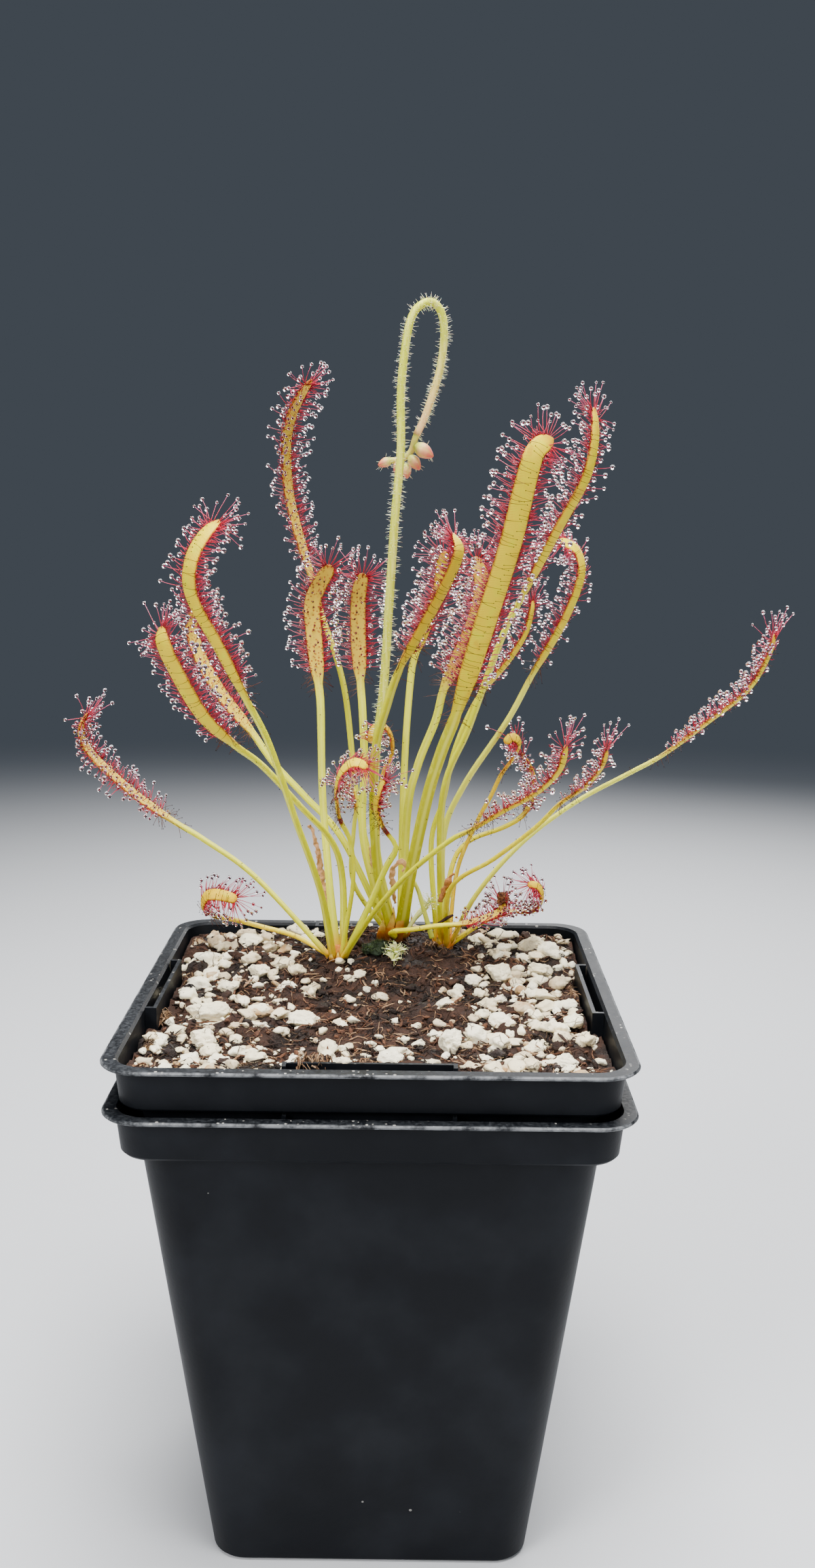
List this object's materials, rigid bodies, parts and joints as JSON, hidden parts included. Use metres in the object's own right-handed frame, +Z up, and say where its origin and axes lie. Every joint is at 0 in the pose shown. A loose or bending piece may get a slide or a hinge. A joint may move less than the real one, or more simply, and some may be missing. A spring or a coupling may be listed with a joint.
{
  "type": "potted sundew",
  "caption": "Strap-leaved sundew with glandular tentacles and a hooked flower stalk, growing in a perlite mix in two nested square nursery pots.",
  "frame": {"origin": "centre of the outer pot's flat underside", "axes": "+Z up through the pot, +Y to the back of the plant as pictured, +X to the right"},
  "size_m": [0.1346, 0.09, 0.2319],
  "materials": {
    "pot": "moulded black plastic, satin, dusty at the rim",
    "peat": "damp brown peat with fibres and fine perlite",
    "perlite": "rough cream-white expanded grains",
    "crown": "orange-brown stubs of old leaf bases",
    "leaf": "yellow-green, crimson glandular hairs with clear dew",
    "flower_stalk": "pale green, softly hairy",
    "flower_buds": "pink with pale green bases",
    "moss": "dark green, damp",
    "seedling": "pale green, bristly"
  },
  "bodies": {
    "root": {"pot_outer": "pot", "pot_inner": "pot", "potting_mix": "peat", "perlite_1": "perlite", "perlite_2": "perlite", "perlite_3": "perlite", "perlite_4": "perlite", "perlite_5": "perlite", "perlite_6": "perlite", "perlite_7": "perlite", "perlite_8": "perlite", "perlite_9": "perlite", "perlite_10": "perlite", "crown_left": "crown", "crown_centre": "crown", "crown_right": "crown", "leaf_01": "leaf", "leaf_02": "leaf", "leaf_03": "leaf", "leaf_04": "leaf", "leaf_05": "leaf", "leaf_06": "leaf", "leaf_07": "leaf", "leaf_08": "leaf", "leaf_09": "leaf", "leaf_10": "leaf", "leaf_11": "leaf", "leaf_12": "leaf", "leaf_13": "leaf", "leaf_14": "leaf", "leaf_15": "leaf", "leaf_16": "leaf", "leaf_17": "leaf", "leaf_18": "leaf", "leaf_19": "leaf", "leaf_20": "leaf", "leaf_21": "leaf", "leaf_22": "leaf", "leaf_23": "leaf", "leaf_24": "leaf", "leaf_25": "leaf", "leaf_26": "leaf", "flower_stalk": "flower_stalk", "flower_buds": "flower_buds", "moss": "moss", "seedling": "seedling"}
  },
  "joints": []
}
